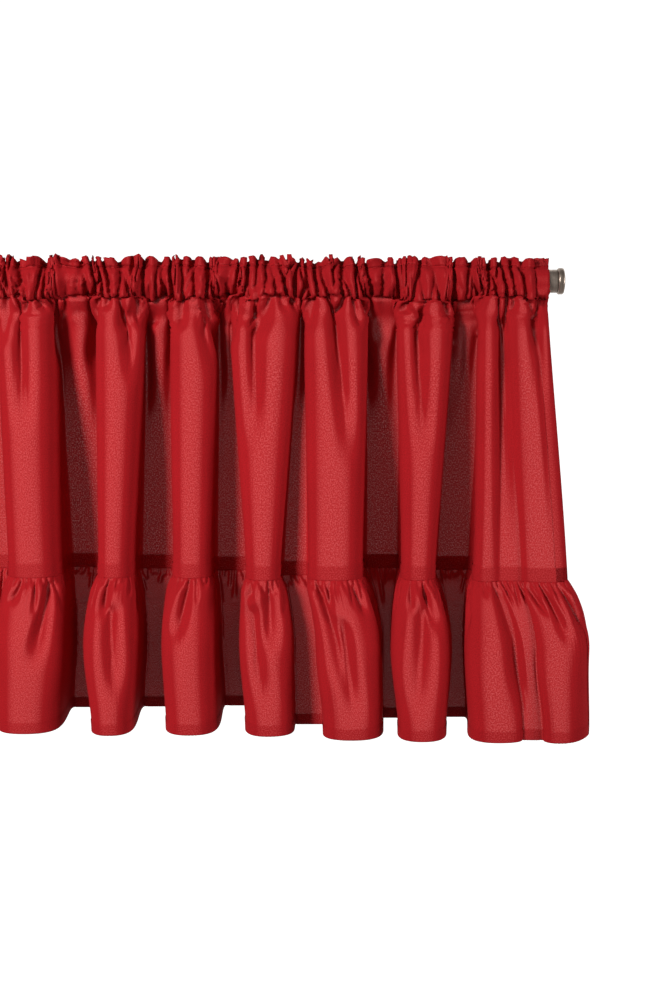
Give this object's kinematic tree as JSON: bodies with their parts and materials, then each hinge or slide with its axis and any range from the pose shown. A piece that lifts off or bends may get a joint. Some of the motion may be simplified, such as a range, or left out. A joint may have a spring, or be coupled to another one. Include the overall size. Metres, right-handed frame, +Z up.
{
  "type": "window valance with curtain rod",
  "caption": "Gathered rod-pocket window valance in plain red cotton with a sewn-on ruffle, hanging from a slim metal curtain rod with ringed end caps.",
  "frame": {"origin": "on the curtain rod's axis, halfway between its ends", "axes": "+X along the rod to the viewer's right, +Z up, -Y towards the room and +Y towards the wall"},
  "size_m": [0.9887, 0.0998, 0.3904],
  "materials": {
    "panel_cotton": "plain-weave cotton, slightly sheer",
    "ruffle_cotton": "plain-weave cotton, slightly sheer",
    "rod_metal": "pewter plated, satin",
    "right_cap_metal": "pewter plated, satin",
    "left_cap_metal": "pewter plated, satin"
  },
  "bodies": {
    "root": {"valance_panel": "panel_cotton", "ruffle": "ruffle_cotton", "curtain_rod": "rod_metal", "end_cap_right": "right_cap_metal", "end_cap_left": "left_cap_metal"}
  },
  "joints": []
}
